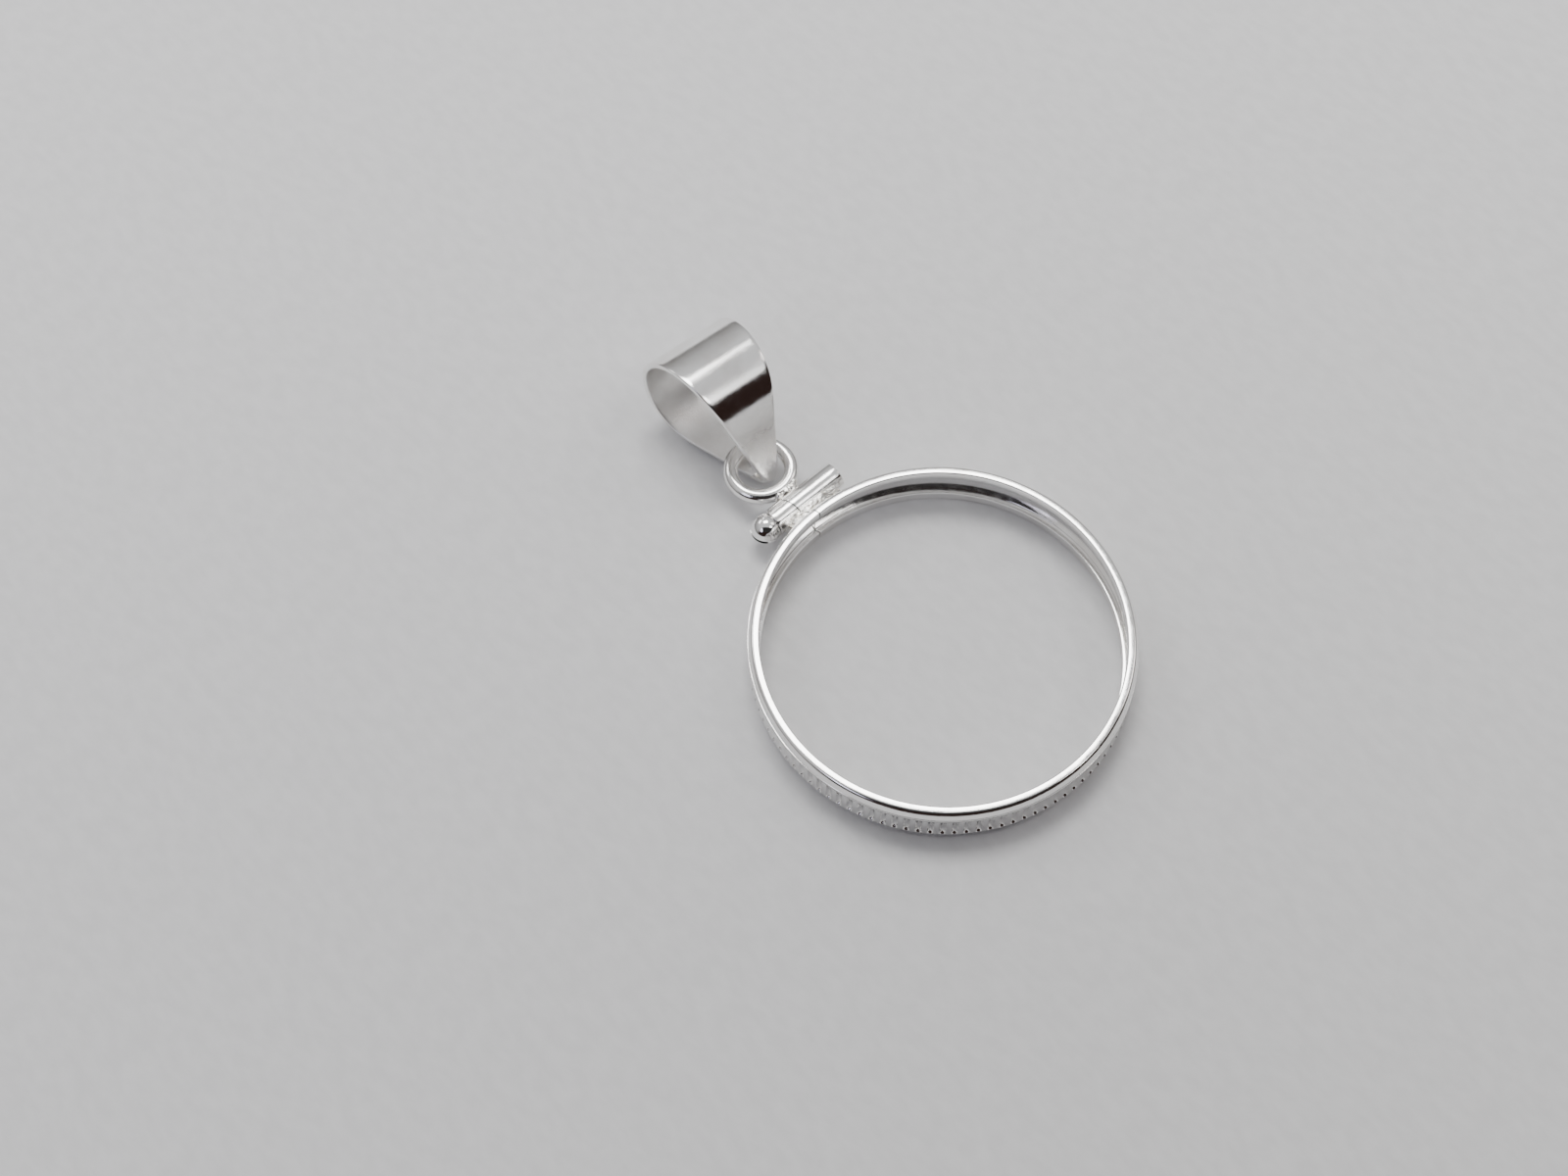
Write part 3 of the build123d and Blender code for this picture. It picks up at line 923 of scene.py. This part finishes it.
def bailMesh():
    slope = asin((bail["loopRadius"] - bail["tipRound"]) / loopDistance)
    creaseAt = bail["tipRound"] + (bail["thickness"] - bail["tipRound"] + bail["creaseRound"]) / sin(slope)
    outside = teardrop(bail["tipRound"], bail["tipRound"], bail["loopRadius"])
    inside = teardrop(creaseAt, bail["creaseRound"], bail["loopRadius"] - bail["thickness"])
    section = stripSection()
    bm = bmesh.new()
    satin = bm.verts.layers.float.new("satin")
    rings = []
    for (outerAt, outerOut), (innerAt, innerOut) in zip(outside, inside):
        outerAt = max(outerAt, bail["tipTrim"])
        ring = []
        for share, inset, depth in section:
            at = outerAt + (innerAt - outerAt) * depth
            lay = outerOut + (innerOut - outerOut) * depth
            width = halfWidth(outerAt) + (halfWidth(innerAt) - halfWidth(outerAt)) * depth
            inset = min(inset, width * 0.5)
            if abs(share) == 1:
                side = share * (width - inset)
            else:
                side = share * (width - min(bail["edgeRound"], width * 0.5))
            if depth == 0 and outerOut > 0:
                far = hypot(at - bail["dentAt"], side - bail["dentSide"]) / bail["dentRadius"]
                lay -= bail["dentDepth"] * max(0.0, 1 - far * far) ** 2
            vert = bm.verts.new(tipEnd + along * at + out * lay + across * side)
            brushed = (bail["satinFrom"] - at) / (bail["satinFrom"] - bail["satinTo"])
            vert[satin] = 1.0 if depth > 0.5 else min(max(brushed, 0.0), 1.0)
            ring.append(vert)
        rings.append(ring)
    stitch(bm, rings, closed=True)
    return bm


finishPiece("bailStrip", bailMesh(), silverOf["bail"], "bail_loop", ["bail"], sharp=40)

# The solder in the bail's crease keeps its shape from the frame
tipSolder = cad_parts["bail_tip_solder"]
tipSolder.data.materials.clear()
tipSolder.data.materials.append(silverOf["solder"])

# Paper that the object lies on
paper = {"size": 900, "drop": 0.01, "tone": (0.86, 0.86, 0.865), "shade": (0.81, 0.81, 0.815), "fibre": 0.6}


def paperSheet():
    bm = bmesh.new()
    bmesh.ops.create_grid(bm, x_segments=1, y_segments=1, size=paper["size"] / 2)
    bmesh.ops.translate(bm, vec=(0, 0, -paper["drop"]), verts=bm.verts[:])
    mesh = toMesh(bm, "paperSheet")
    mesh.transform(Matrix.Scale(mm, 4))
    material = bpy.data.materials.new("paper")
    material.use_nodes = True
    tree = material.node_tree
    shader = tree.nodes["Principled BSDF"]
    shader.inputs["Roughness"].default_value = 0.9
    shader.inputs["Specular IOR Level"].default_value = 0.1
    place = addNode(tree, "ShaderNodeTexCoord").outputs["Object"]
    mask = ramp(tree, grain(tree, place, paper["fibre"], 6.0, (1, 0.5, 1)), 0.35, 0.65, 0, 1)
    mixed = addNode(tree, "ShaderNodeMix", {0: mask, 6: (*paper["tone"], 1), 7: (*paper["shade"], 1)},
                    data_type="RGBA")
    tree.links.new(mixed.outputs[2], shader.inputs["Base Color"])
    bumps(tree, shader, [(grain(tree, place, 0.35, 4.0), 0.012)])
    mesh.materials.append(material)
    sheet = bpy.data.objects.new("paperSheet", mesh)
    bpy.context.scene.collection.objects.link(sheet)


paperSheet()

# Camera, looking down on the closure side
view = {
    "lens": 46.53,
    "sensor": 36.0,
    "azimuth": -39.7,
    "elevation": 63.29,
    "roll": -2.11,
    "distance": 99.85,
    "aim": (-3.17, 7.83, 0),
}
azimuth, elevation, roll = (radians(view[name]) for name in ("azimuth", "elevation", "roll"))
forward = Vector((-sin(azimuth) * cos(elevation), cos(azimuth) * cos(elevation), -sin(elevation)))
levelRight = Vector((cos(azimuth), sin(azimuth), 0))
levelUp = levelRight.cross(forward)
cameraRight = levelRight * cos(roll) + levelUp * sin(roll)
cameraUp = cameraRight.cross(forward)
cameraPlace = (Vector(view["aim"]) - forward * view["distance"]) * mm


def facing(rightWay, upWay, place):
    # a frame that looks along its own -Z
    backWay = rightWay.cross(upWay)
    turned = Matrix((rightWay, upWay, backWay)).transposed().to_4x4()
    return Matrix.Translation(place) @ turned


def addCamera():
    lens = bpy.data.cameras.new("camera")
    lens.lens = view["lens"]
    lens.sensor_width = view["sensor"]
    lens.clip_start = 0.005
    camera = bpy.data.objects.new("camera", lens)
    camera.matrix_world = facing(cameraRight, cameraUp, cameraPlace)
    bpy.context.scene.collection.objects.link(camera)
    bpy.context.scene.camera = camera


addCamera()

# Studio: a pale room, soft lights, and a dark card behind the camera that the silver reflects
studio = {
    "zenith": (0.74, 0.74, 0.75),
    "horizon": (0.22, 0.215, 0.21),
    "figure": (0.026, 0.015, 0.013),
    "figureAzimuth": 160.0,
    "figureReach": (0.05, 0.35),
    "figureTop": (0.62, 0.70),
}
lights = {
    # name: azimuth, elevation, distance in mm, width, height, radiance, colour
    "keyLight": (-33, 66, 1200, 560, 380, 10.5, (1.0, 0.995, 0.98)),
    "nearLight": (-164, 53, 1200, 620, 360, 5.0, (1.0, 0.99, 0.98)),
    "farLight": (10, 38, 1300, 500, 300, 3.0, (1.0, 0.99, 0.97)),
    "leftLight": (95, 40, 1200, 380, 500, 2.2, (0.80, 0.80, 1.0)),
    "rightLight": (-110, 42, 1300, 320, 420, 2.4, (1.0, 0.90, 0.86)),
}
card = {"width": 150, "height": 72, "side": 22, "lower": 16, "behind": 3, "tone": (0.012, 0.010, 0.010)}


def addRoom():
    world = bpy.data.worlds.new("room")
    bpy.context.scene.world = world
    world.use_nodes = True
    tree = world.node_tree
    background = tree.nodes["Background"]
    look = addNode(tree, "ShaderNodeTexCoord").outputs["Generated"]
    height = addNode(tree, "ShaderNodeSeparateXYZ", {0: look}).outputs[2]
    mask = ramp(tree, height, 0.05, 0.75, 0, 1)
    mixed = addNode(tree, "ShaderNodeMix", {0: mask, 6: (*studio["horizon"], 1), 7: (*studio["zenith"], 1)},
                    data_type="RGBA")
    # the one who holds the camera, dark against the room on its low near side
    a = radians(studio["figureAzimuth"])
    near = vectorMaths(tree, "DOT_PRODUCT", look, (-sin(a), cos(a), 0))
    figure = maths(tree, "MULTIPLY", ramp(tree, near, *studio["figureReach"], 0, 1),
                   ramp(tree, height, *studio["figureTop"], 1, 0))
    shown = addNode(tree, "ShaderNodeMix", {0: figure, 6: mixed.outputs[2], 7: (*studio["figure"], 1)},
                    data_type="RGBA")
    tree.links.new(shown.outputs[2], background.inputs["Color"])


def addLight(name, azimuthDeg, elevationDeg, distance, width, height, radiance, tone):
    lamp = bpy.data.lights.new(name, "AREA")
    lamp.shape = "RECTANGLE"
    lamp.size = width * mm
    lamp.size_y = height * mm
    lamp.energy = radiance * pi * lamp.size * lamp.size_y
    lamp.color = tone
    a, e = radians(azimuthDeg), radians(elevationDeg)
    toward = Vector((-sin(a) * cos(e), cos(a) * cos(e), sin(e)))
    side = Vector((cos(a), sin(a), 0))
    holder = bpy.data.objects.new(name, lamp)
    holder.matrix_world = facing(side, side.cross(-toward), toward * distance * mm)
    bpy.context.scene.collection.objects.link(holder)


def addCard():
    # the back of the camera's own body
    bm = bmesh.new()
    w, h = card["width"] / 2, card["height"] / 2
    middle = cameraPlace / mm - forward * card["behind"] + cameraRight * card["side"] - cameraUp * card["lower"]
    corners = [middle + cameraRight * x + cameraUp * y for x, y in ((-w, -h), (w, -h), (w, h), (-w, h))]
    bm.faces.new([bm.verts.new(corner) for corner in corners])
    mesh = toMesh(bm, "cameraBody")
    mesh.transform(Matrix.Scale(mm, 4))
    material = bpy.data.materials.new("cameraBody")
    material.use_nodes = True
    shader = material.node_tree.nodes["Principled BSDF"]
    shader.inputs["Base Color"].default_value = (*card["tone"], 1)
    shader.inputs["Roughness"].default_value = 0.8
    mesh.materials.append(material)
    holder = bpy.data.objects.new("cameraBody", mesh)
    holder.visible_camera = False
    bpy.context.scene.collection.objects.link(holder)


addRoom()
for lightName, facts in lights.items():
    addLight(lightName, *facts)
addCard()
print("studio made")
